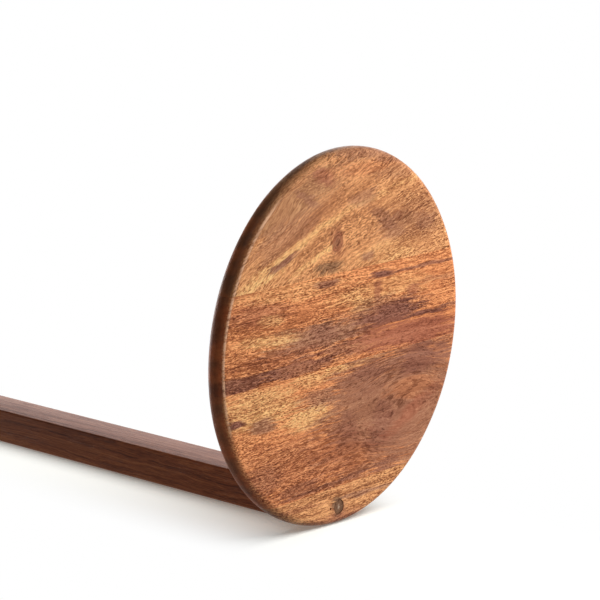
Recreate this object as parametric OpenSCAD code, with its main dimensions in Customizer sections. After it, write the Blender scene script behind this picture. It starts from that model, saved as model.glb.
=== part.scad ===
// Free-standing paper towel holder in glued-up hardwood.
// A round base carries one post at its rim. An arm on the post holds a lift pin over the base's
// centre: lifted by its knob, it lets a roll in, and let go, its head drops into the roll's core.
// Frame: millimetres, +Z up, origin at the centre of the base's underside, post on the +Y side.

/* [Base] */
// Diameter of the round base
base_d = 200; // [190:1:240]
// Thickness of the base
base_t = 10; // [10:0.5:16]
// Radius of the rounding along the base's rim
base_edge_r = 4.5; // [1:0.5:4.5]
// Turn of the glued staves about the vertical axis
stave_angle = -2.5; // [-8:0.5:8]
// Distance of the first glue line from the base's centre, away from the post
glue_line_1 = 36; // [20:1:60]
// Distance of the second glue line from the base's centre, towards the post
glue_line_2 = 13; // [12:1:30]
// Distance of the third glue line from the base's centre, towards the post
glue_line_3 = 79; // [60:1:80]

/* [Roll boss] */
// Diameter of the boss that centres the roll's core
boss_d = 34; // [28:1:36]
// Height of the boss above the base
boss_h = 8; // [5:1:12]
// Rounding of the boss's top edge
boss_edge_r = 3; // [1:0.5:4]

/* [Post and arm] */
// Width of the post and of the arm, across the holder
post_w = 28; // [24:1:34]
// Thickness of the post, from its outer face to its inner face
post_t = 19; // [16:0.5:22]
// Clear height between the base and the arm
roll_gap = 298; // [292:1:320]
// Thickness of the arm
arm_t = 19; // [16:0.5:24]
// Diameter of the arm's round end over the base's centre
arm_end_d = 44; // [40:1:56]
// Easing of the long edges of the post and the arm
ease_r = 1.5; // [0.5:0.5:3]

/* [Lift pin] */
// Diameter of the pin's shaft
pin_d = 18; // [16:1:20]
// Radial running clearance of the shaft in the arm's bore
pin_clearance = 0.05; // [0.02:0.01:0.1]
// Diameter of the pin's head, which enters the roll's core
head_d = 24; // [22:1:32]
// Height of the pin's head
head_h = 8; // [6:1:12]
// Travel of the pin, from resting on its knob to the head meeting the arm
lift = 24; // [18:1:30]
// Diameter of the knob
knob_d = 38; // [32:1:46]
// Height of the knob
knob_h = 18; // [16:1:24]
// Rounding of the knob's rim
knob_edge_r = 7; // [3:0.5:7.5]

/* [Fasteners] */
// Thread diameter of the wood screws
screw_d = 4.2; // [3.5:0.1:5]
// Length of the wood screws
screw_l = 38; // [30:1:45]
// Diameter of the countersunk screw heads
screw_head_d = 7.6; // [7:0.1:8]
// Diameter of the plugs over the screws
plug_d = 8; // [8:0.1:10]
// Depth of the plugs
plug_h = 3; // [2:0.5:3.5]
// Diameter of the headless brads
brad_d = 1.4; // [1:0.1:2]
// Length of the brads
brad_l = 20; // [15:1:30]
// Depth of the brads' ends below the surface
brad_set = 1.5; // [1:0.5:3]
// Distance of a brad from its screw, across the holder
brad_offset = 7; // [6:0.5:10]

/* [Hidden] */
base_r = base_d / 2;
post_y = base_r - post_t / 2;      // the post's axis, with its outer face tangent to the rim
arm_z = base_t + roll_gap;         // underside of the arm
arm_top = arm_z + arm_t;
boss_tenon_d = 16;
boss_tenon_h = 5;
head_gap = 0.2;                    // left between the pin's head and the arm at full lift
head_top = arm_z - lift - head_gap;
head_edge_r = 5;
knob_tenon_d = 12;
knob_tenon_h = 11;
screw_head_h = 2.8;
screw_core_d = 3;
thread_pitch = 2;
recess_w = 1.3;                    // arms of the screw's cross recess
recess_l = 4.6;
recess_h = 1.8;
overlap = 1;                       // how far a cutting shape runs past the surface it cuts
walnut = [0.36, 0.2, 0.12];
steel = [0.72, 0.72, 0.74];

$fn = 96;

// A disc standing on z = 0 whose rim is rounded above and below by radius r.
module rounded_disc(d, h, r) {
    rotate_extrude() {
        square([d / 2 - r, h]);
        translate([0, r]) square([d / 2, h - 2 * r]);
        translate([d / 2 - r, r]) circle(r);
        translate([d / 2 - r, h - r]) circle(r);
    }
}

// A w by l rectangle centred on the origin with its corners eased by radius r.
module eased_rectangle(w, l, r) {
    square([w - 2 * r, l], center = true);
    square([w, l - 2 * r], center = true);
    for (x = [-1, 1], y = [-1, 1])
        translate([x * (w / 2 - r), y * (l / 2 - r)]) circle(r);
}

// The slab between two glue lines, given as distances from the base's centre towards the post.
module stave_slab(from_y, to_y) {
    rotate(stave_angle)
        translate([-base_d, from_y, -overlap])
            cube([2 * base_d, to_y - from_y, base_t + 2 * overlap]);
}

// One stave of the base, before any holes.
module stave(from_y, to_y) {
    intersection() {
        rounded_disc(base_d, base_t, base_edge_r);
        stave_slab(from_y, to_y);
    }
}

// A screw pointing up, with the face of its head on z = 0. Rings stand for the thread.
module wood_screw() {
    thread_from = screw_head_h + 8;
    difference() {
        rotate_extrude() {
            polygon([[0, 0], [screw_head_d / 2, 0], [screw_d / 2, screw_head_h],
                     [screw_d / 2, thread_from], [screw_core_d / 2, thread_from + 1],
                     [screw_core_d / 2, screw_l - 4], [0, screw_l]]);
            for (z = [thread_from + 1 : thread_pitch : screw_l - 6])
                polygon([[0, z], [screw_core_d / 2, z], [screw_d / 2, z + thread_pitch / 4],
                         [screw_core_d / 2, z + thread_pitch / 2], [0, z + thread_pitch / 2]]);
        }
        for (turn = [0, 90])
            rotate(turn)
                translate([-recess_l / 2, -recess_w / 2, -overlap])
                    cube([recess_l, recess_w, recess_h + overlap]);
    }
}

// What is cut for a screw: plug pocket, head seat and shank hole through wood of thickness t, then
// a pilot hole into the end grain behind it. It points up from z = 0.
module screw_hole(t) {
    head_z = plug_h;
    translate([0, 0, -overlap]) cylinder(d = plug_d, h = plug_h + overlap);
    translate([0, 0, head_z])
        cylinder(d1 = screw_head_d, d2 = screw_d, h = screw_head_h);
    translate([0, 0, head_z]) cylinder(d = screw_d, h = t - head_z);
    translate([0, 0, t - overlap]) cylinder(d = screw_core_d, h = screw_l + head_z - t + overlap);
}

// What is cut for a brad, from the surface on z = 0 upwards.
module brad_hole() {
    translate([0, 0, -overlap]) cylinder(d = brad_d, h = brad_set + brad_l + overlap);
}

// Puts what points up from the base's underside at the post's axis.
module at_post_foot() {
    translate([0, post_y, 0]) children();
}

// Turns what points up so that it points down from the arm's top, at the post's axis.
module at_post_head() {
    translate([0, post_y, arm_top]) mirror([0, 0, 1]) children();
}

module beside_screw() {
    translate([-brad_offset, 0, 0]) children();
}

module base_stave_1() {
    color("peru") stave(-base_d, -glue_line_1);
}

module base_stave_2() {
    color("sienna")
        difference() {
            stave(-glue_line_1, glue_line_2);
            translate([0, 0, base_t - boss_tenon_h])
                cylinder(d = boss_tenon_d, h = boss_tenon_h + overlap);
        }
}

module base_stave_3() {
    color("chocolate") stave(glue_line_2, glue_line_3);
}

module base_stave_4() {
    color("burlywood")
        difference() {
            stave(glue_line_3, base_d);
            at_post_foot() screw_hole(base_t);
            at_post_foot() beside_screw() brad_hole();
        }
}

module base_boss() {
    color(walnut)
        translate([0, 0, base_t])
            rotate_extrude() {
                square([boss_d / 2 - boss_edge_r, boss_h]);
                square([boss_d / 2, boss_h - boss_edge_r]);
                translate([boss_d / 2 - boss_edge_r, boss_h - boss_edge_r]) circle(boss_edge_r);
                translate([0, -boss_tenon_h]) square([boss_tenon_d / 2, boss_tenon_h + overlap]);
            }
}

module base_screw() {
    color(steel) at_post_foot() translate([0, 0, plug_h]) wood_screw();
}

module base_plug() {
    color("tan") at_post_foot() cylinder(d = plug_d, h = plug_h);
}

module base_brad() {
    color(steel)
        at_post_foot() beside_screw() translate([0, 0, brad_set]) cylinder(d = brad_d, h = brad_l);
}

module post() {
    color(walnut)
        difference() {
            translate([0, post_y, base_t])
                linear_extrude(roll_gap) eased_rectangle(post_w, post_t, ease_r);
            at_post_foot() screw_hole(base_t);
            at_post_foot() beside_screw() brad_hole();
            at_post_head() screw_hole(arm_t);
            at_post_head() beside_screw() brad_hole();
        }
}

module arm() {
    color(walnut)
        difference() {
            translate([0, 0, arm_z])
                linear_extrude(arm_t) {
                    translate([0, base_r / 2]) eased_rectangle(post_w, base_r, ease_r);
                    circle(d = arm_end_d);
                }
            translate([0, 0, arm_z - overlap])
                cylinder(r = pin_d / 2 + pin_clearance, h = arm_t + 2 * overlap);
            at_post_head() screw_hole(arm_t);
            at_post_head() beside_screw() brad_hole();
        }
}

module arm_screw() {
    color(steel) at_post_head() translate([0, 0, plug_h]) wood_screw();
}

module arm_plug() {
    color("tan") at_post_head() cylinder(d = plug_d, h = plug_h);
}

module arm_brad() {
    color(steel)
        at_post_head() beside_screw() translate([0, 0, brad_set]) cylinder(d = brad_d, h = brad_l);
}

module lift_pin() {
    color(walnut)
        rotate_extrude() {
            translate([0, head_top - head_h]) square([head_d / 2 - head_edge_r, head_h]);
            translate([0, head_top - head_h + head_edge_r])
                square([head_d / 2, head_h - head_edge_r]);
            intersection() {
                translate([head_d / 2 - head_edge_r, head_top - head_h + head_edge_r])
                    circle(head_edge_r);
                translate([0, head_top - head_h]) square([head_d / 2, head_h]);
            }
            translate([0, head_top - overlap]) square([pin_d / 2, arm_top - head_top + overlap]);
            translate([0, arm_top - overlap]) square([knob_tenon_d / 2, knob_tenon_h + overlap]);
        }
}

module lift_knob() {
    color("peru")
        translate([0, 0, arm_top])
            difference() {
                rounded_disc(knob_d, knob_h, knob_edge_r);
                translate([0, 0, -overlap])
                    cylinder(d = knob_tenon_d, h = knob_tenon_h + overlap);
            }
}

base_stave_1();
base_stave_2();
base_stave_3();
base_stave_4();
base_boss();
base_screw();
base_plug();
base_brad();
post();
arm();
arm_screw();
arm_plug();
arm_brad();
lift_pin();
lift_knob();
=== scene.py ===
"""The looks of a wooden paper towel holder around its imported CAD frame.

The frame is in metres with +Z up the roll's axis, and the post on the +Y side. The photograph shows the
holder lying on its post, so its floor is the vertical plane through the post's outer face, and the
camera looks at the base's underside with -Y up.
"""

import math
from collections import namedtuple

import bmesh
import bpy
from mathutils import Matrix, Vector, noise


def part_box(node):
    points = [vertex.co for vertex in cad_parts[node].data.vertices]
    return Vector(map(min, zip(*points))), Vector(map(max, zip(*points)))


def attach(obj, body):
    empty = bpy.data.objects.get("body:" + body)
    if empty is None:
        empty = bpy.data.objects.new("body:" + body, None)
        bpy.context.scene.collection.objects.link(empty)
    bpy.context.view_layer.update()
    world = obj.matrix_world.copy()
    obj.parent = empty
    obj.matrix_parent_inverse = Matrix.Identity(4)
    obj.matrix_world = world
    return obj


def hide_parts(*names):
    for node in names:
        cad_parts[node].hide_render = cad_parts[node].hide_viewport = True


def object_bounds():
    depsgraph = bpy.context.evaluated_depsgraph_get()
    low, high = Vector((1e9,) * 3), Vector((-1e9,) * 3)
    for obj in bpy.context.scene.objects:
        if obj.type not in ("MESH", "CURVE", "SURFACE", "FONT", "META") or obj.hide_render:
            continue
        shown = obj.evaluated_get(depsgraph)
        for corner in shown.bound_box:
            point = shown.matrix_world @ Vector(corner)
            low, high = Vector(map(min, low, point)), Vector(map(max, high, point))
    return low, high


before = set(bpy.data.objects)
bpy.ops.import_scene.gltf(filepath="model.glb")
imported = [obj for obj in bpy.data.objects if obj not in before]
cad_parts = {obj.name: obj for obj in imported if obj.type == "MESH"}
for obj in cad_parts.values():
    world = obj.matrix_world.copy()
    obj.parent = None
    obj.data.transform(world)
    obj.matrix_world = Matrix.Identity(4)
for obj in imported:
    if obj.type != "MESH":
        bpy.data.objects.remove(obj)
cad_low, cad_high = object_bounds()

MM = 0.001
BASE_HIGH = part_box("base_stave_2")[1]
BASE_R = BASE_HIGH[0]
BASE_T = BASE_HIGH[2]
POST_LOW, POST_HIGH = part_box("post")
ARM_LOW, ARM_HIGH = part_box("arm")
PIN_LOW, PIN_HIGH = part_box("lift_pin")
KNOB_LOW, KNOB_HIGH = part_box("lift_knob")
BOSS_LOW, BOSS_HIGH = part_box("base_boss")
PLUG_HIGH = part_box("base_plug")[1]
BRAD_LOW, BRAD_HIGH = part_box("base_brad")
POST_Y = (POST_LOW[1] + POST_HIGH[1]) / 2
BRAD_X = (BRAD_LOW[0] + BRAD_HIGH[0]) / 2


# ---------------------------------------------------------------- camera

VIEW_TURN = math.radians(51.08)      # from the underside's normal towards -X
VIEW_RISE = math.radians(10.25)      # above the floor the holder lies on
VIEW_ROLL = math.radians(2.59)
VIEW_AIM = Vector((-40.5, -24.9, 0)) * MM
VIEW_DISTANCE = 1094.6 * MM
LENS = 130.4


def add_camera():
    """The photograph's viewpoint: the underside's normal is -Z, and -Y is up."""
    towards = Vector((-math.sin(VIEW_TURN) * math.cos(VIEW_RISE), -math.sin(VIEW_RISE),
                      -math.cos(VIEW_TURN) * math.cos(VIEW_RISE)))
    right = (-towards).cross(Vector((0, -1, 0))).normalized()
    up = right.cross(-towards)
    turned = right * math.cos(VIEW_ROLL) + up * math.sin(VIEW_ROLL)
    up = up * math.cos(VIEW_ROLL) - right * math.sin(VIEW_ROLL)
    data = bpy.data.cameras.new("camera")
    data.lens = LENS
    camera = bpy.data.objects.new("camera", data)
    bpy.context.scene.collection.objects.link(camera)
    place = Matrix((turned, up, towards)).transposed().to_4x4()
    place.translation = VIEW_AIM + towards * VIEW_DISTANCE
    camera.matrix_world = place
    bpy.context.scene.camera = camera


# ---------------------------------------------------------------- node graphs

class Graph:
    """Builds the node tree of a material or a world with one call per node."""

    def __init__(self, owner):
        owner.use_nodes = True
        self.owner = owner
        self.tree = owner.node_tree
        self.tree.nodes.clear()

    def put(self, socket, value):
        if isinstance(value, bpy.types.NodeSocket):
            self.tree.links.new(value, socket)
        elif value is not None:
            socket.default_value = value

    def add(self, kind, values=(), **settings):
        """A node with its settings, and its inputs by name or number."""
        node = self.tree.nodes.new(kind)
        for key, value in settings.items():
            setattr(node, key, value)
        for key, value in dict(values).items():
            self.put(node.inputs[key], value)
        return node

    def object_mm(self):
        """The point on the object, in millimetres."""
        place = self.add("ShaderNodeTexCoord").outputs["Object"]
        return self.add("ShaderNodeVectorMath", {0: place, 3: 1 / MM}, operation="SCALE").outputs[0]

    def wobble(self, vector, factors):
        """Smooth noise around zero, in each direction."""
        return self.shift(self.noise(vector, factors)[1], (-0.5, -0.5, -0.5))

    def math(self, operation, a, b=0.0):
        return self.add("ShaderNodeMath", {0: a, 1: b}, operation=operation).outputs[0]

    def stretch(self, vector, factors):
        return self.add("ShaderNodeVectorMath", {0: vector, 1: factors},
                        operation="MULTIPLY").outputs[0]

    def shift(self, vector, other):
        return self.add("ShaderNodeVectorMath", {0: vector, 1: other}, operation="ADD").outputs[0]

    def noise(self, vector, factors, detail=2.0, roughness=0.5):
        """Noise of the vector stretched by factors, as value and colour."""
        node = self.add("ShaderNodeTexNoise", {
            "Vector": self.stretch(vector, factors), "Scale": 1.0, "Detail": detail,
            "Roughness": roughness})
        return node.outputs[0], node.outputs[1]

    def centred(self, value, factor):
        """Noise around 0.5 as a value around zero, times factor."""
        return self.math("MULTIPLY", self.math("SUBTRACT", value, 0.5), factor)

    def remap(self, value, low, high, to_low=0.0, to_high=1.0):
        """The value's way from low to high, as a smooth step between two others."""
        return self.add("ShaderNodeMapRange", {
            0: value, 1: low, 2: high, 3: to_low, 4: to_high},
            interpolation_type="SMOOTHSTEP").outputs[0]

    def ramp(self, value, stops):
        """A colour between those of the stops, which are pairs of a place and a colour."""
        node = self.add("ShaderNodeValToRGB", {0: value})
        line = node.color_ramp
        line.elements[0].position, line.elements[0].color = stops[0][0], (*stops[0][1], 1)
        line.elements[1].position, line.elements[1].color = stops[-1][0], (*stops[-1][1], 1)
        for place, colour in stops[1:-1]:
            line.elements.new(place).color = (*colour, 1)
        return node.outputs[0]

    def mix(self, share, a, b, blend="MIX"):
        """Colour a with a share of b in it."""
        node = self.add("ShaderNodeMix", data_type="RGBA", blend_type=blend)
        self.put(node.inputs[0], share)
        self.put(node.inputs[6], a if isinstance(a, bpy.types.NodeSocket) else (*a, 1))
        self.put(node.inputs[7], b if isinstance(b, bpy.types.NodeSocket) else (*b, 1))
        return node.outputs[2]

    def patch(self, vector, centre, radii, tilt=0.0):
        """1 at an ellipsoid's centre down to 0 at its surface."""
        turned = self.add("ShaderNodeMapping", {
            "Vector": vector, "Location": centre, "Rotation": (0, 0, math.radians(tilt)),
            "Scale": radii}, vector_type="TEXTURE").outputs[0]
        return self.add("ShaderNodeTexGradient", {"Vector": turned},
                        gradient_type="SPHERICAL").outputs[1]

    def surface(self, colour, roughness, bump=None, bump_mm=0.05, **values):
        """Ends the graph in a Principled shader, and returns the material."""
        shader = self.add("ShaderNodeBsdfPrincipled", {"Base Color": colour, "Roughness": roughness})
        for key, value in values.items():
            shader.inputs[key.replace("_", " ")].default_value = value
        if bump is not None:
            bumped = self.add("ShaderNodeBump", {"Height": bump, "Distance": bump_mm * MM,
                                                 "Strength": 1.0})
            self.put(shader.inputs["Normal"], bumped.outputs[0])
        self.add("ShaderNodeOutputMaterial", {0: shader.outputs[0]})
        return self.owner


# ---------------------------------------------------------------- lights and stage

BACKDROP_WAY = Vector((0.76, -0.2, 0.62))     # where the bright backdrop lies, seen from the holder
FLOOR_WAY = Vector((0, 1, 0))
LIGHT_AIM = Vector((0, 0.02, 0.05))
FLOOR_GAP = 0.3 * MM        # between the underside and the upright views' floor


def add_softbox(name, place, size, power, linked, mirrored=True):
    """A square area light at place, in metres, that faces the holder and stays out of every view.

    It lights what the collection linked says. One that isn't mirrored lights surfaces without a
    reflection of itself on them.
    """
    data = bpy.data.lights.new(name, "AREA")
    data.shape = "SQUARE"
    data.size = size
    data.energy = power
    lamp = bpy.data.objects.new(name, data)
    lamp.location = place
    lamp.rotation_euler = (Vector(place) - LIGHT_AIM).to_track_quat("Z", "Y").to_euler()
    lamp.visible_camera = False
    lamp.visible_glossy = mirrored
    lamp.light_linking.receiver_collection = linked
    bpy.context.scene.collection.objects.link(lamp)


def receivers(name, floors, state):
    """A collection for a light: it reaches only these floors, or all but these, as state says."""
    members = bpy.data.collections.new(name)
    for floor in floors:
        members.objects.link(floor)
    for member in members.collection_objects:
        member.light_linking.link_state = state
    return members


def add_lights(photo_floor, upright_floor):
    """Softboxes for the holder, and one for each floor that only keeps it white around its shadow."""
    holder = receivers("all_but_floors", (photo_floor, upright_floor), "EXCLUDE")
    add_softbox("side_softbox", (1.25, -0.38, -0.6), 0.9, 40, holder, mirrored=False)
    add_softbox("back_softbox", (1.15, -0.5, 0.95), 1.3, 6, holder)
    add_softbox("front_softbox", (0.38, 0, -1.28), 0.5, 4, holder)
    add_softbox("top_softbox", (-0.9, -1.1, -0.2), 0.8, 1.8, holder)
    add_softbox("end_softbox", (-0.1, 0.1, 1.4), 0.9, 13, holder)
    first = receivers("photo_floor_only", (photo_floor,), "INCLUDE")
    add_softbox("photo_floor_softbox", (0.6, -1.3, -0.5), 1.5, 37, first)
    second = receivers("upright_floor_only", (upright_floor,), "INCLUDE")
    add_softbox("upright_floor_softbox", (0.5, -0.4, 1.5), 1.2, 30, second)


def toward(g, way, low, high, strength):
    """World light of up to strength where the direction turns towards way."""
    sky = g.add("ShaderNodeTexCoord").outputs["Generated"]
    dot = g.add("ShaderNodeVectorMath", {0: sky, 1: way.normalized()}, operation="DOT_PRODUCT")
    return g.remap(dot.outputs["Value"], low, high, 0.0, strength)


def add_world():
    """White where the camera looks past everything, and a dimmer surround for the light."""
    world = bpy.data.worlds.new("studio")
    bpy.context.scene.world = world
    g = Graph(world)
    light = g.math("ADD", toward(g, BACKDROP_WAY, 0.4, 0.95, 0.35), 0.05)
    light = g.math("ADD", light, toward(g, FLOOR_WAY, -0.1, 0.8, 0.35))
    surround = g.add("ShaderNodeBackground", {"Strength": light})
    seen = g.add("ShaderNodeBackground", {"Color": (1, 1, 1, 1)})
    camera_ray = g.add("ShaderNodeLightPath").outputs["Is Camera Ray"]
    shown = g.add("ShaderNodeMixShader", {0: camera_ray, 1: surround.outputs[0], 2: seen.outputs[0]})
    g.add("ShaderNodeOutputWorld", {0: shown.outputs[0]})


def floor_material(name, stretch, near, far):
    """A white surface seen from its front only, which fades into the white around it.

    It is itself up to near, and all white from far on. Both are distances from its middle in metres,
    once the place is multiplied by stretch.
    """
    g = Graph(bpy.data.materials.new(name))
    white = g.add("ShaderNodeBsdfDiffuse", {"Color": (0.93, 0.94, 0.9, 1)})
    glow = g.add("ShaderNodeEmission", {"Color": (0.97, 1, 0.93, 1), "Strength": 0.15})
    lit = g.add("ShaderNodeAddShader", {0: white.outputs[0], 1: glow.outputs[0]})
    blank = g.add("ShaderNodeEmission")
    place = g.add("ShaderNodeTexCoord").outputs["Object"]
    reach = g.add("ShaderNodeVectorMath", {0: g.stretch(place, stretch)}, operation="LENGTH")
    fade = g.remap(reach.outputs["Value"], near, far)
    front = g.add("ShaderNodeMixShader", {0: fade, 1: lit.outputs[0], 2: blank.outputs[0]})
    behind = g.add("ShaderNodeNewGeometry").outputs["Backfacing"]
    clear = g.add("ShaderNodeBsdfTransparent")
    shown = g.add("ShaderNodeMixShader", {0: behind, 1: front.outputs[0], 2: clear.outputs[0]})
    g.add("ShaderNodeOutputMaterial", {0: shown.outputs[0]})
    return g.owner


def add_floor(name, place, normal, material):
    """A large square seen by the camera only, so that it takes shadows and hides no light."""
    half = 3.0
    mesh = bpy.data.meshes.new(name)
    mesh.from_pydata([(-half, -half, 0), (half, -half, 0), (half, half, 0), (-half, half, 0)],
                     [], [(0, 1, 2, 3)])
    mesh.materials.append(material)
    floor = bpy.data.objects.new(name, mesh)
    floor.location = place
    floor.rotation_euler = Vector(normal).to_track_quat("Z", "Y").to_euler()
    bpy.context.scene.collection.objects.link(floor)
    for ray in ("diffuse", "glossy", "transmission", "volume_scatter", "shadow"):
        setattr(floor, "visible_" + ray, False)
    return floor


# ---------------------------------------------------------------- wood

# The middle colour of each tone of the wood, linear.
TONES = {
    "gold": (0.79, 0.36, 0.145),
    "honey": (0.63, 0.265, 0.11),
    "orange": (0.71, 0.255, 0.1),
    "rust": (0.37, 0.118, 0.063),
    "umber": (0.375, 0.158, 0.087),
    "olive": (0.38, 0.185, 0.085),
    "plum": (0.25, 0.09, 0.057),
    "smoke": (0.17, 0.085, 0.048),
    "bark": (0.27, 0.078, 0.03),
}
PORE = (0.45, 0.36, 0.32)
# The colour of the pale highlight painted along the edge of the base's face.
HIGHLIGHT_PAINT = (1.0, 0.58, 0.35)

# A patch of the wood, with its centre and radii in millimetres and its tilt in degrees. Its kind is a
# tone, or "flecks" for many coarse pores, "calm" for hardly any grain, "painted_highlight" for a pale
# highlight painted along the face's edge where its rounding begins, "knot" for one with the grain round
# it, or "swirl" for grain that bulges round its middle.
Patch = namedtuple("Patch", "x y along across tilt kind strength")
PATCH_DEPTH = 20
SOFT_REACH = 1.5        # how far a patch with a soft edge reaches, in its radii
KNOT_REACH = 2.5        # how far the grain bends round a knot, in its radii


def tone_ramp(g, value, name):
    """From the dark lines of a tone of wood to its light ones."""
    r, gr, b = TONES[name]
    return g.ramp(value, [(0.1, (0.39 * r, 0.33 * gr, 0.34 * b)), (0.35, (0.71 * r, 0.66 * gr, 0.64 * b)),
                          (0.52, (r, gr, b)), (0.85, (min(1, 1.45 * r), 1.7 * gr, 1.75 * b))])


def of_kind(patches, *kinds):
    return [patch for patch in patches if patch.kind in kinds]


def spot(g, space, patch, reach=1.0):
    """1 at the patch's middle down to 0 at reach times its radii."""
    radii = (patch.along * reach, patch.across * reach, PATCH_DEPTH)
    return g.patch(space, (patch.x, patch.y, 0), radii, patch.tilt)


def grain_space(g, raw, place, seeded, patches, bend, length):
    """The space in which the grain runs straight along X, and the small waves in it."""
    ripple = g.wobble(seeded, (0.08, 0.25, 0.25))
    grain = g.shift(seeded, g.stretch(g.wobble(seeded, (0.014, 0.04, 0.04)), (0, 7, 7)))
    grain = g.shift(grain, g.stretch(ripple, (0, 1.6, 1.6)))
    along = g.add("ShaderNodeSeparateXYZ", {0: place}).outputs[0]
    slope = g.math("ADD", bend[0], g.math("MULTIPLY", along, bend[1]))
    drop = g.math("MULTIPLY", g.math("MULTIPLY", slope, along), -1.0)
    grain = g.shift(grain, g.add("ShaderNodeCombineXYZ", {1: drop}).outputs[0])
    grain = g.stretch(grain, (1 / length, 1, 1))
    for patch in of_kind(patches, "knot", "swirl"):
        share = spot(g, raw, patch, KNOT_REACH if patch.kind == "knot" else 1.0)
        pull = g.math("MULTIPLY", share, -0.94 * patch.strength)
        outward = g.shift(raw, (-patch.x, -patch.y, 0))
        inward = g.add("ShaderNodeVectorMath", {0: outward, 3: pull}, operation="SCALE").outputs[0]
        grain = g.shift(grain, inward)
    return grain, ripple


def liveliness(g, seeded, drifted, patches, closed, pores):
    """How strong the fine grain is and the streaks are, and how closely the flecks crowd."""
    crowd = g.math("SUBTRACT", g.noise(seeded, (0.018, 0.05, 0.05))[0], 0.5)
    for patch in of_kind(patches, "flecks"):
        share = g.math("MULTIPLY", spot(g, drifted, patch, SOFT_REACH), patch.strength)
        crowd = g.math("ADD", crowd, share)
    lively = g.remap(g.noise(seeded, (0.03, 0.09, 0.09))[0], 0.3, 0.7, 0.6, 1.3)
    lively = g.math("MULTIPLY", lively, g.math("MULTIPLY", closed, pores))
    even = 1.0
    for patch in of_kind(patches, "calm"):
        share = g.remap(spot(g, drifted, patch, SOFT_REACH), 0, 0.5)
        share = g.math("SUBTRACT", 1.0, g.math("MULTIPLY", share, patch.strength))
        lively = g.math("MULTIPLY", lively, share)
        even = g.math("MULTIPLY", even, share)
    return lively, even, crowd


def grain_value(g, grain, lively, even, streaks):
    """How light the wood is, around a half, and the streaks and fibres that make it so."""
    broad = g.noise(grain, (0.006, 0.12, 0.12), detail=3)[0]
    streak = g.noise(grain, (0.02, 0.6, 0.6), detail=4, roughness=0.65)[0]
    line = g.noise(grain, (0.04, 1.7, 1.7))[0]
    fibre = g.noise(grain, (0.34, 2.1, 2.1), detail=3, roughness=0.75)[0]
    fibre = g.centred(fibre, lively)
    speck = g.noise(grain, (0.7, 2.4, 2.4), detail=1)[0]
    speck = g.math("MULTIPLY", g.remap(speck, 0.55, 0.63), lively)
    value = g.math("ADD", g.centred(streak, streaks), g.centred(line, 0.8 * streaks))
    value = g.math("MULTIPLY", value, even)
    value = g.math("ADD", value, g.centred(broad, 0.9))
    value = g.math("ADD", value, g.math("MULTIPLY", fibre, 2.6))
    value = g.math("ADD", value, g.math("MULTIPLY", speck, 0.32))
    return g.math("ADD", value, 0.52), streak, fibre


def toned(g, value, tone, grain, drifted, patches):
    """The wood in its own tone, with the patches of other tones frayed along the grain."""
    fray = g.centred(g.noise(grain, (0.05, 0.9, 0.9), detail=4, roughness=0.6)[0], 1.6)
    colour = tone_ramp(g, value, tone)
    ramps = {tone: colour}
    for patch in of_kind(patches, *TONES):
        if patch.kind not in ramps:
            ramps[patch.kind] = tone_ramp(g, value, patch.kind)
        share = spot(g, drifted, patch, SOFT_REACH)
        edge = g.math("MULTIPLY", g.remap(share, 0.0, 0.2), fray)
        share = g.remap(g.math("ADD", share, edge), 0.1, 0.6, 0.0, patch.strength)
        colour = g.mix(share, colour, ramps[patch.kind])
    return colour


def knotted(g, colour, raw, ripple, patches):
    """The colour with a dark, ringed heart in each knot."""
    for patch in of_kind(patches, "knot"):
        share = spot(g, g.shift(raw, g.stretch(ripple, (2, 2, 0))), patch)
        ring = g.remap(g.math("SINE", g.math("MULTIPLY", share, 24.0)), -1.0, 1.0, 0.1, 0.6)
        heart = g.mix(g.remap(share, 0.3, 0.8), tone_ramp(g, ring, "rust"), tone_ramp(g, ring, "plum"))
        colour = g.mix(g.remap(share, 0.0, 0.25, 0.0, patch.strength), colour, heart)
    return colour


def pore_share(g, grain, lively, crowd, closed, flecks):
    """Where pores darken the wood: fine ones all over, and coarse ones where they crowd."""
    fine = g.noise(grain, (0.45, 1.9, 1.9), detail=1)[0]
    pore = g.math("MULTIPLY", g.remap(fine, 0.55, 0.61), g.math("MULTIPLY", lively, 0.95))
    coarse = g.noise(grain, (0.2, 0.85, 0.85), detail=3, roughness=0.6)[0]
    coarse = g.math("ADD", coarse, g.math("MULTIPLY", crowd, 0.45))
    fleck = g.math("MULTIPLY", g.remap(coarse, 0.57, 0.65), g.math("MULTIPLY", closed, flecks))
    return g.math("MAXIMUM", pore, fleck)


def paint_edge_highlight(g, colour, raw, flat, streak, patches):
    """A pale highlight painted on the colour where the rounding begins. flat is how squarely a surface
    faces Z.
    """
    edge = g.math("MULTIPLY", g.remap(flat, 0.84, 0.92), g.remap(flat, 0.97, 0.995, 1.0, 0.0))
    edge = g.math("MULTIPLY", edge, g.remap(streak, 0.3, 0.6))
    for patch in of_kind(patches, "painted_highlight"):
        share = g.remap(spot(g, raw, patch), 0.0, 0.5, 0.0, patch.strength)
        colour = g.mix(g.math("MULTIPLY", edge, share), colour, HIGHLIGHT_PAINT)
    return colour


def end_grain(g, colour, seeded, ends, tone):
    """The colour darker, redder and blotched where the surface cuts across the grain."""
    r, gr, b = TONES[tone]
    blotch = g.noise(seeded, (0.09, 0.09, 0.09), detail=3)[0]
    end = g.ramp(blotch, [(0.4, (0.28 * r, 0.23 * gr, 0.26 * b)), (0.6, (0.6 * r, 0.38 * gr, 0.3 * b))])
    return g.mix(g.remap(ends, 0.25, 0.75, 0.0, 0.85), colour, end)


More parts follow.
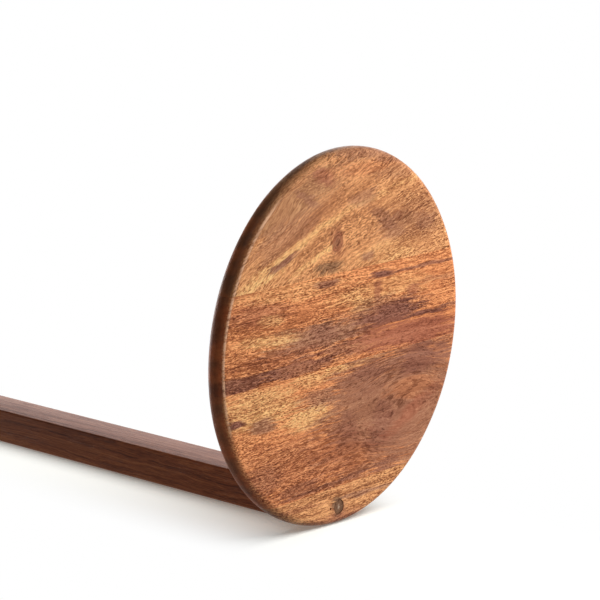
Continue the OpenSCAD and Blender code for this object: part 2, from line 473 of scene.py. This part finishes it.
def wood(name, tone, patches=(), turn=(0, 0, 0), bend=(0, 0), seed=0.0, length=1.0, streaks=1.4,
         pores=1.0, flecks=0.6):
    """Oiled hardwood. Its grain runs along X once the object is turned by turn, in degrees.

    Each of patches has the values of a Patch. bend is the slope and the curve of the grain lines, length
    how far they run, and streaks, pores and flecks how strong they are. Flecks are the coarse pores.
    """
    g = Graph(bpy.data.materials.new(name))
    patches = [Patch(*patch) for patch in patches]
    angles = tuple(math.radians(a) for a in turn)
    raw = g.object_mm()
    place = g.add("ShaderNodeMapping", {"Vector": raw, "Rotation": angles}).outputs[0]
    seeded = g.shift(place, (seed * 137.0, seed * 61.0, seed * 29.0))
    drifted = g.shift(raw, g.stretch(g.wobble(seeded, (0.05, 0.12, 0.12)), (12, 4, 4)))
    normal = g.add("ShaderNodeTexCoord").outputs["Normal"]
    facing = g.add("ShaderNodeMapping", {"Vector": normal, "Rotation": angles}).outputs[0]
    facing = g.add("ShaderNodeSeparateXYZ", {0: facing}).outputs
    ends = g.math("ABSOLUTE", facing[0])
    flat = g.math("ABSOLUTE", facing[2])
    closed = g.remap(ends, 0.3, 0.9, 1.0, 0.3)

    grain, ripple = grain_space(g, raw, place, seeded, patches, bend, length)
    lively, even, crowd = liveliness(g, seeded, drifted, patches, closed, pores)
    value, streak, fibre = grain_value(g, grain, lively, even, streaks)
    colour = toned(g, value, tone, grain, drifted, patches)
    colour = knotted(g, colour, raw, ripple, patches)
    dark = pore_share(g, grain, lively, crowd, closed, flecks)
    colour = g.mix(dark, colour, PORE, "MULTIPLY")
    # A pale highlight painted along the edge of the face, where its rounding begins.
    colour = paint_edge_highlight(g, colour, raw, flat, streak, patches)
    colour = end_grain(g, colour, seeded, ends, tone)

    roughness = g.remap(value, 0.1, 0.9, 0.42, 0.32)
    height = g.math("SUBTRACT", g.math("MULTIPLY", fibre, 0.4), dark)
    return g.surface(colour, roughness, height, 0.08, Specular_IOR_Level=0.12)


def dark_wood(name, turn, seed, tone="bark"):
    """The close, straight-grained wood of the post and of the turned parts."""
    return wood(name, tone, (), turn, seed=seed, length=3.0, streaks=1.3, pores=0.3, flecks=0.25)


def steel(name, tint, roughness):
    """Drawn and plated steel with fine scratches round it."""
    g = Graph(bpy.data.materials.new(name))
    place = g.object_mm()
    scratch = g.noise(place, (3, 3, 12), detail=3)[0]
    colour = g.ramp(scratch, [(0.3, tuple(c * 0.7 for c in tint)), (0.7, tint)])
    return g.surface(colour, g.remap(scratch, 0.2, 0.8, roughness, roughness + 0.2), scratch, 0.01,
                     Metallic=1.0)


def filler(name, x, y):
    """Dried wood filler round (x, y) in millimetres: dark at its rim and paler over the screw."""
    g = Graph(bpy.data.materials.new(name))
    place = g.object_mm()
    smear = g.shift(g.noise(place, (0.5, 0.5, 0.5), detail=3)[1], (-0.5, -0.5, -0.5))
    smeared = g.shift(place, g.stretch(smear, (5, 5, 0)))
    core = g.patch(smeared, (x, y, 0), (4.6, 4.6, 400))
    blots = g.noise(place, (0.9, 1.6, 0.9), detail=4, roughness=0.7)[0]
    value = g.math("ADD", core, g.centred(blots, 1.1))
    colour = g.ramp(value, [(0.0, (0.09, 0.038, 0.02)), (0.3, (0.17, 0.08, 0.043)),
                            (0.7, (0.22, 0.115, 0.066)), (0.95, (0.45, 0.33, 0.24))])
    return g.surface(colour, g.remap(blots, 0.3, 0.7, 0.65, 0.45), blots, 0.25, Specular_IOR_Level=0.15)


# ---------------------------------------------------------------- meshes

def finish_piece(name, bm, material, body, node, sharp=40):
    """Makes the object of a mesh that replaces a CAD node, and lets it ride on the node's body."""
    bmesh.ops.recalc_face_normals(bm, faces=bm.faces)
    mesh = bpy.data.meshes.new(name)
    bm.to_mesh(mesh)
    bm.free()
    mesh.materials.append(material)
    mesh.shade_smooth()
    mesh.set_sharp_from_angle(angle=math.radians(sharp))
    piece = bpy.data.objects.new(name, mesh)
    bpy.context.scene.collection.objects.link(piece)
    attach(piece, body)
    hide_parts(node)
    return piece


def revolve(profile, steps=128):
    """A closed mesh of the (radius, height) profile turned about Z. It starts and ends on the axis."""
    bm = bmesh.new()
    rings = []
    for radius, height in profile:
        if radius < 1e-7:
            rings.append([bm.verts.new((0, 0, height))])
            continue
        rings.append([bm.verts.new((radius * math.cos(a), radius * math.sin(a), height))
                      for a in (2 * math.pi * i / steps for i in range(steps))])
    for low, high in zip(rings, rings[1:]):
        for i in range(steps):
            j = (i + 1) % steps
            corners = [low[i % len(low)], low[j % len(low)], high[j % len(high)], high[i % len(high)]]
            bm.faces.new(list(dict.fromkeys(corners)))
    return bm


def arc(centre, radius, start, end, steps=8):
    """Points of an arc of the profile, with its angles in degrees."""
    return [(centre[0] + radius * math.cos(math.radians(start + (end - start) * i / steps)),
             centre[1] + radius * math.sin(math.radians(start + (end - start) * i / steps)))
            for i in range(steps + 1)]


def waver(bm, amount, scale, keep=lambda co: 1.0):
    """Moves each vertex along its normal by smooth noise, as hand sanding leaves it."""
    bm.normal_update()
    moves = [noise.noise(v.co * scale) * amount * keep(v.co) for v in bm.verts]
    for v, move in zip(bm.verts, moves):
        v.co += v.normal * move


def cut(piece, cutters):
    """Takes closed meshes away from a piece."""
    for bm in cutters:
        bmesh.ops.recalc_face_normals(bm, faces=bm.faces)
        mesh = bpy.data.meshes.new("cutter")
        bm.to_mesh(mesh)
        bm.free()
        cutter = bpy.data.objects.new("cutter", mesh)
        bpy.context.scene.collection.objects.link(cutter)
        boolean = piece.modifiers.new("cut", "BOOLEAN")
        boolean.operation = "DIFFERENCE"
        boolean.solver = "EXACT"
        boolean.object = cutter
        shown = piece.evaluated_get(bpy.context.evaluated_depsgraph_get())
        result = bpy.data.meshes.new_from_object(shown)
        piece.modifiers.clear()
        old = piece.data
        piece.data = result
        result.name = piece.name
        bpy.data.meshes.remove(old)
        bpy.data.objects.remove(cutter)
        bpy.data.meshes.remove(mesh)


def rod(radius, low, high, x=0.0, y=0.0, steps=48):
    """A plain cylinder along Z, for cutting holes."""
    bm = revolve([(0, low), (radius, low), (radius, high), (0, high)], steps)
    bmesh.ops.translate(bm, vec=(x, y, 0), verts=bm.verts)
    return bm


# ---------------------------------------------------------------- base

STAVE_TURN = math.radians(-2.5)
GLUE_LINES = (-36 * MM, 13 * MM, 79 * MM)
RIM_R = 4.5 * MM
RIM_UNEVEN = 0.14 * MM
PLUG_SET = 0.15 * MM        # how far the filler lies under the surface
PLUG_EDGE = 0.3 * MM
PLUG_UNEVEN = 0.18 * MM


def base_disc():
    """The whole base, rounded round its rim and slightly uneven from hand sanding."""
    flat_r = BASE_R - RIM_R
    count = 36
    rings = [flat_r * i / count for i in range(count)]
    profile = [(r, 0) for r in rings]
    profile += arc((flat_r, RIM_R), RIM_R, -90, 0, 10)
    profile += arc((flat_r, BASE_T - RIM_R), RIM_R, 0, 90, 10)
    profile += [(r, BASE_T) for r in reversed(rings)]
    bm = revolve(profile, 288)
    waver(bm, RIM_UNEVEN, 28.0, lambda co: min(1.0, max(0.0, (co.xy.length / BASE_R - 0.8) * 8)))
    return bm


def stave_bmesh(low, high):
    """The part of the base between two glue lines, closed where it is cut. None is the rim."""
    bm = base_disc()
    across = Vector((-math.sin(STAVE_TURN), math.cos(STAVE_TURN), 0))
    for line, side in ((low, -1), (high, 1)):
        if line is None:
            continue
        bmesh.ops.bisect_plane(bm, geom=bm.verts[:] + bm.edges[:] + bm.faces[:], dist=1e-7,
                               plane_co=across * line, plane_no=across * side, clear_outer=True)
        rim = [e for e in bm.edges if e.is_boundary]
        bmesh.ops.holes_fill(bm, edges=rim, sides=0)
    return bm


# Where the look of each stave changes: the values of a Patch each.
STAVE_PATCHES = {
    "base_stave_1": [
        (-45, -75, 36, 9, -22, "olive", 0.6),
        (-52, -57, 26, 9, -20, "umber", 0.5),
        (60, -60, 40, 12, -8, "umber", 0.35),
        (30, -88, 40, 6, 4, "umber", 0.4),
        (-47, -51, 32, 2.0, -23, "gold", 1.0),
        (-72, -38, 22, 3.5, -18, "gold", 1.0),
        (-8, -66, 26, 1.8, -19, "gold", 0.8),
        (34, -77, 34, 1.8, -14, "gold", 0.7),
        (-55, -45, 12, 1.8, -24, "plum", 0.9),
        (-33, -44, 18, 1.8, -22, "gold", 1.0),
        (30, -42, 24, 7, -4, "gold", 0.5),
        (15, -42, 6, 3, 0, "umber", 0.8),
        (8, -73, 11, 5, -10, "umber", 0.6),
        (34, -53, 10, 4, 0, "umber", 0.6),
        (-18, -39, 10, 3, -6, "smoke", 0.7),
        (-12, -52, 7, 8, 0, "rust", 0.5),
        (-12, -52, 5, 6.5, 10, "knot", 0.7),
        (26, -62, 12, 4, 30, "plum", 0.55),
        (42, -60, 16, 4, 10, "umber", 0.4),
        (38, -62, 5, 3, 10, "knot", 0.4),
        (63, -57, 9, 4.5, 0, "plum", 0.5),
        (-25, -86, 9, 4, 20, "rust", 0.9),
        (-38, -76, 10, 2.5, 20, "umber", 0.8),
        (5, -89, 30, 4, -4, "orange", 0.5),
        (40, -62, 30, 14, 0, "flecks", 0.3),
        (20, -97, 60, 5, 4, "umber", 0.7),
        (-52, -70, 32, 20, -20, "swirl", 0.6),
        (-48, -72, 36, 20, -20, "calm", 0.45),
        (-44, -76, 40, 16, -16, "umber", 0.3),
        # A pale highlight painted along the face's edge on the -X side.
        (-80, -50, 34, 44, 0, "painted_highlight", 0.9),
    ],
    "base_stave_2": [
        (-72, -21, 24, 6, 0, "rust", 0.6),
        (28, -23, 44, 6, -2, "gold", 0.6),
        (-50, -30, 44, 5, 0, "gold", 0.35),
        (-20, -31, 10, 2, 0, "plum", 0.8),
        (27, -31, 9, 2, 0, "plum", 1.0),
        (66, -32.5, 34, 1.2, -2, "plum", 0.8),
        (78, -24, 24, 1.5, -2, "plum", 0.4),
        (10, -16, 9, 4, 0, "gold", 0.8),
        (-62, -17, 8, 3.5, 0, "gold", 0.6),
        (24, -22, 4, 6, 0, "rust", 0.7),
        (56, -20, 5, 3, 0, "rust", 0.7),
        (-20, -12, 36, 12, 0, "flecks", 0.2),
        (30, -13, 26, 6, 0, "umber", 0.7),
        (-16, -4, 46, 8, -3, "umber", 1.0),
        (-20, -6, 12, 4, 0, "plum", 0.5),
        (-64, -7, 24, 4, 2, "gold", 0.75),
        (-48, -9, 12, 1.4, 6, "plum", 0.4),
        (36, -9, 30, 6, -8, "plum", 1.0),
        (4, 5, 30, 4.5, -4, "plum", 0.65),
        (62, 4, 50, 8, 1, "rust", 1.0),
        (66, -6, 30, 1.5, -3, "plum", 1.0),
        (70, 12, 34, 1.5, -2, "plum", 0.8),
        (-50, 4, 36, 5, 0, "rust", 0.4),
        (-82, 13, 30, 4, -3, "plum", 0.9),
        (-40, 10.5, 34, 4, -3, "plum", 0.75),
        (-66, 2, 30, 9, 0, "flecks", 0.15),
        (66, 2, 50, 8, 1, "calm", 0.6),
        (60, -28, 40, 8, -2, "calm", 0.4),
        # A pale highlight painted along the face's edge on the -X side.
        (-97, -12, 20, 50, 0, "painted_highlight", 0.9),
    ],
    "base_stave_3": [
        (-70, 27, 34, 10, 0, "gold", 0.85),
        (-28, 38, 20, 6, -4, "gold", 1.0),
        (6, 14.4, 30, 2.2, -3, "gold", 1.0),
        (-85, 33, 7, 1.8, 0, "plum", 1.0),
        (-64, 37, 10, 4, 0, "umber", 0.9),
        (56, 46, 52, 34, 10, "swirl", 0.8),
        (50, 42, 66, 36, -8, "umber", 1.0),
        (12, 36, 24, 26, 0, "umber", 0.8),
        (64, 19, 18, 9, -6, "plum", 0.8),
        (15, 25, 20, 8, 0, "plum", 0.35),
        (56, 52, 26, 14, 0, "plum", 0.3),
        (-20, 29, 17, 5, 0, "umber", 0.8),
        (-30, 18, 16, 3.5, 0, "gold", 0.6),
        (26, 19, 22, 5, 0, "plum", 0.5),
        (84, 18, 12, 6, 0, "plum", 0.6),
        (4, 46, 8, 7, 0, "plum", 0.4),
        (8, 65, 20, 7, 0, "orange", 0.45),
        (32, 52, 9, 16, 30, "plum", 0.5),
        (60, 34, 22, 6, 0, "orange", 0.35),
        (62, 47, 26, 5, -24, "rust", 0.6),
        (40, 74, 12, 4.5, -10, "plum", 0.6),
        (-30, 62, 52, 17, 0, "rust", 0.4),
        (-62, 65, 13, 8, 0, "plum", 0.4),
        (-35, 75, 15, 4, 0, "plum", 0.5),
        (-12, 77, 42, 1.5, -3, "plum", 0.7),
        (-30, 62, 50, 18, 0, "flecks", 0.22),
        (-70, 38, 26, 8, 0, "flecks", 0.3),
        (50, 40, 62, 30, -8, "calm", 0.65),
        (78, 60, 30, 15, -20, "umber", 0.8),
        # A pale highlight painted along the face's edge on the -X side.
        (-95, 20, 20, 26, 0, "painted_highlight", 0.6),
    ],
    "base_stave_4": [
        (22, 86, 24, 1.5, 0, "umber", 0.9),
        (-34, 86, 18, 1.4, 0, "rust", 0.4),
        (0, 91, 8, 6, 0, "plum", 0.5),
        (-2, 88, 4, 4, 0, "smoke", 0.8),
        (0, 94.5, 3, 2.5, 0, "smoke", 0.9),
        (2, 87.5, 3, 3, 0, "smoke", 0.5),
        (0, 99, 44, 5, 0, "rust", 0.6),
    ],
}
STAVE_TONES = ("honey", "orange", "orange", "honey")
STAVE_FLECKS = (0.5, 0.8, 0.8, 0.5)
STAVE_STREAKS = (1.0, 1.4, 0.9, 1.8)


def add_base():
    """The four staves. The last one has the holes for the plug and the brad."""
    lines = (None, *GLUE_LINES, None)
    for i, tone in enumerate(STAVE_TONES):
        node = f"base_stave_{i + 1}"
        bends = (-0.36, 0.0012) if i == 0 else (0, 0)
        material = wood(f"wood_{node}", tone, STAVE_PATCHES[node], (0, 0, 2.5), bends, seed=i + 1,
                        streaks=STAVE_STREAKS[i], flecks=STAVE_FLECKS[i])
        stave = finish_piece(f"{node}_wood", stave_bmesh(lines[i], lines[i + 1]), material, "stand",
                             node)
    cut(stave, [rod(PLUG_HIGH[0], -MM, PLUG_HIGH[2], 0, POST_Y),
                rod(BRAD_HIGH[0] - BRAD_X, -MM, BASE_T + MM, BRAD_X, POST_Y, 24)])


def add_plug():
    """The filler in its pocket, pressed in a little below the face and uneven."""
    radius, depth = PLUG_HIGH[0], PLUG_HIGH[2]
    count = 10
    profile = [(radius * i / count, PLUG_SET) for i in range(count)]
    profile += arc((radius - PLUG_EDGE, 0.35 * MM), PLUG_EDGE, -90, 0, 4)
    profile += [(radius, depth), (0, depth)]
    bm = revolve(profile, 64)
    for v in bm.verts:
        if v.co.z < 0.2 * MM:
            v.co.z += noise.noise(v.co * 450) * PLUG_UNEVEN
    bmesh.ops.translate(bm, vec=(0, POST_Y, 0), verts=bm.verts)
    finish_piece("base_plug_filler", bm, filler("filler_base", 0, POST_Y / MM), "stand", "base_plug")


# ---------------------------------------------------------------- post, arm and lift pin

EASE = 1.5 * MM
ARM_PLUG_DEPTH = 3 * MM
ARM_BRAD_DEPTH = 20 * MM
BORE_R = 9.05 * MM
SHAFT_R = 9 * MM
HEAD_H = 8 * MM
HEAD_EDGE = 5 * MM
KNOB_TENON_R = 6 * MM
KNOB_EDGE = 7 * MM
BOSS_TENON_R = 8 * MM
BOSS_EDGE = 3 * MM


def bar_bmesh(width, depth, low, high, steps):
    """A bar along Z with eased edges, in steps rings of faces."""
    outline = []
    for sx, sy, start in ((1, 1, 0), (-1, 1, 90), (-1, -1, 180), (1, -1, 270)):
        centre = (sx * (width / 2 - EASE), sy * (depth / 2 - EASE))
        outline += arc(centre, EASE, start, start + 90, 5)
    bm = bmesh.new()
    rings = [[bm.verts.new((x, y, low + (high - low) * i / steps)) for x, y in outline]
             for i in range(steps + 1)]
    count = len(outline)
    for a, b in zip(rings, rings[1:]):
        for i in range(count):
            bm.faces.new((a[i], a[(i + 1) % count], b[(i + 1) % count], b[i]))
    bm.faces.new(reversed(rings[0]))
    bm.faces.new(rings[-1])
    return bm


def add_post(material):
    width, depth = POST_HIGH[0] - POST_LOW[0], POST_HIGH[1] - POST_LOW[1]
    bm = bar_bmesh(width, depth, POST_LOW[2], POST_HIGH[2], 60)
    bmesh.ops.translate(bm, vec=(0, POST_Y, 0), verts=bm.verts)
    finish_piece("post_wood", bm, material, "stand", "post")


def arm_bmesh():
    """The arm's outline, extruded and eased along its top and bottom."""
    half = POST_HIGH[0]
    end_r = ARM_HIGH[0]
    meet = math.degrees(math.acos(half / end_r))
    outline = arc((half - EASE, ARM_HIGH[1] - EASE), EASE, 0, 90, 5)
    outline += arc((-half + EASE, ARM_HIGH[1] - EASE), EASE, 90, 180, 5)
    outline += arc((0, 0), end_r, 180 - meet, 360 + meet, 60)
    bm = bmesh.new()
    bottom = bm.faces.new([bm.verts.new((x, y, ARM_LOW[2])) for x, y in outline])
    made = bmesh.ops.extrude_face_region(bm, geom=[bottom])
    top = [v for v in made["geom"] if isinstance(v, bmesh.types.BMVert)]
    bmesh.ops.translate(bm, vec=(0, 0, ARM_HIGH[2] - ARM_LOW[2]), verts=top)
    bm.normal_update()
    edges = [e for e in bm.edges if abs(e.verts[0].co.z - e.verts[1].co.z) < 1e-6]
    bmesh.ops.bevel(bm, geom=edges, offset=EASE * 0.8, segments=4, profile=0.5, affect="EDGES")
    return bm


def add_arm(material):
    """The arm, with the pin's bore and the holes for its plug and its brad."""
    arm = finish_piece("arm_wood", arm_bmesh(), material, "stand", "arm")
    top = ARM_HIGH[2]
    cut(arm, [rod(BORE_R, ARM_LOW[2] - MM, top + MM, steps=96),
              rod(PLUG_HIGH[0], top - ARM_PLUG_DEPTH, top + MM, 0, POST_Y),
              rod(BRAD_HIGH[0] - BRAD_X, top - ARM_BRAD_DEPTH, top + MM, BRAD_X, POST_Y, 24)])


def add_pin(material):
    """The lift pin from its rounded head up: the shaft, and the tenon in the knob."""
    head_r = PIN_HIGH[0]
    low, high = PIN_LOW[2], PIN_HIGH[2]
    head_top = low + HEAD_H
    profile = [(0, low)] + arc((head_r - HEAD_EDGE, low + HEAD_EDGE), HEAD_EDGE, -90, 0, 10)
    profile += arc((head_r - MM, head_top - MM), MM, 0, 90, 4)
    profile += [(SHAFT_R, head_top), (SHAFT_R, ARM_HIGH[2]), (KNOB_TENON_R, ARM_HIGH[2]),
                (KNOB_TENON_R, high), (0, high)]
    finish_piece("lift_pin_wood", revolve(profile), material, "lift", "lift_pin")


def add_knob(material):
    """The knob, hollow where the pin's tenon is."""
    centre_r = KNOB_HIGH[0] - KNOB_EDGE
    low, high = KNOB_LOW[2], KNOB_HIGH[2]
    profile = [(0, PIN_HIGH[2]), (KNOB_TENON_R, PIN_HIGH[2]), (KNOB_TENON_R, low)]
    profile += arc((centre_r, low + KNOB_EDGE), KNOB_EDGE, -90, 0, 10)
    profile += arc((centre_r, high - KNOB_EDGE), KNOB_EDGE, 0, 90, 10)
    profile += [(0, high)]
    finish_piece("lift_knob_wood", revolve(profile), material, "lift", "lift_knob")


def add_boss(material):
    """The boss on the base, with its tenon in the base."""
    low, high = BASE_T, BOSS_HIGH[2]
    boss_r = BOSS_HIGH[0]
    profile = [(0, BOSS_LOW[2]), (BOSS_TENON_R, BOSS_LOW[2]), (BOSS_TENON_R, low), (boss_r, low)]
    profile += arc((boss_r - BOSS_EDGE, high - BOSS_EDGE), BOSS_EDGE, 0, 90, 8)
    profile += [(0, high)]
    finish_piece("base_boss_wood", revolve(profile), material, "stand", "base_boss")


def add_arm_plug():
    plug = rod(PLUG_HIGH[0], ARM_HIGH[2] - ARM_PLUG_DEPTH, ARM_HIGH[2] - PLUG_SET, 0, POST_Y, 64)
    finish_piece("arm_plug_filler", plug, filler("filler_arm", 0, POST_Y / MM), "stand", "arm_plug")


def colour_hardware():
    """The screws and brads stay as CAD nodes with a metal material."""
    screw = steel("screw_zinc", (0.62, 0.62, 0.64), 0.3)
    brad = steel("brad_steel", (0.12, 0.11, 0.1), 0.45)
    for node, material in (("base_screw", screw), ("arm_screw", screw),
                           ("base_brad", brad), ("arm_brad", brad)):
        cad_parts[node].data.materials.clear()
        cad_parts[node].data.materials.append(material)


bpy.context.scene.view_settings.view_transform = "Standard"
add_camera()
add_world()
add_lights(add_floor("photo_floor", (0, cad_high[1], 0), (0, -1, 0),
                     floor_material("white_beside_post", (1, 0.12, 1), 0.02, 0.09)),
           add_floor("upright_floor", (0, 0, cad_low[2] - FLOOR_GAP), (0, 0, 1),
                     floor_material("white_under_base", (1, 1, 1), 0.2, 0.6)))
add_base()
add_plug()
upright = (0, 90, 0)
add_post(dark_wood("wood_post", upright, 7))
add_arm(dark_wood("wood_arm", (0, 0, 90), 8))
add_boss(dark_wood("wood_boss", (0, 0, 0), 9))
add_pin(dark_wood("wood_pin", upright, 10))
add_knob(dark_wood("wood_knob", (0, 0, 0), 11, "umber"))
add_arm_plug()
colour_hardware()
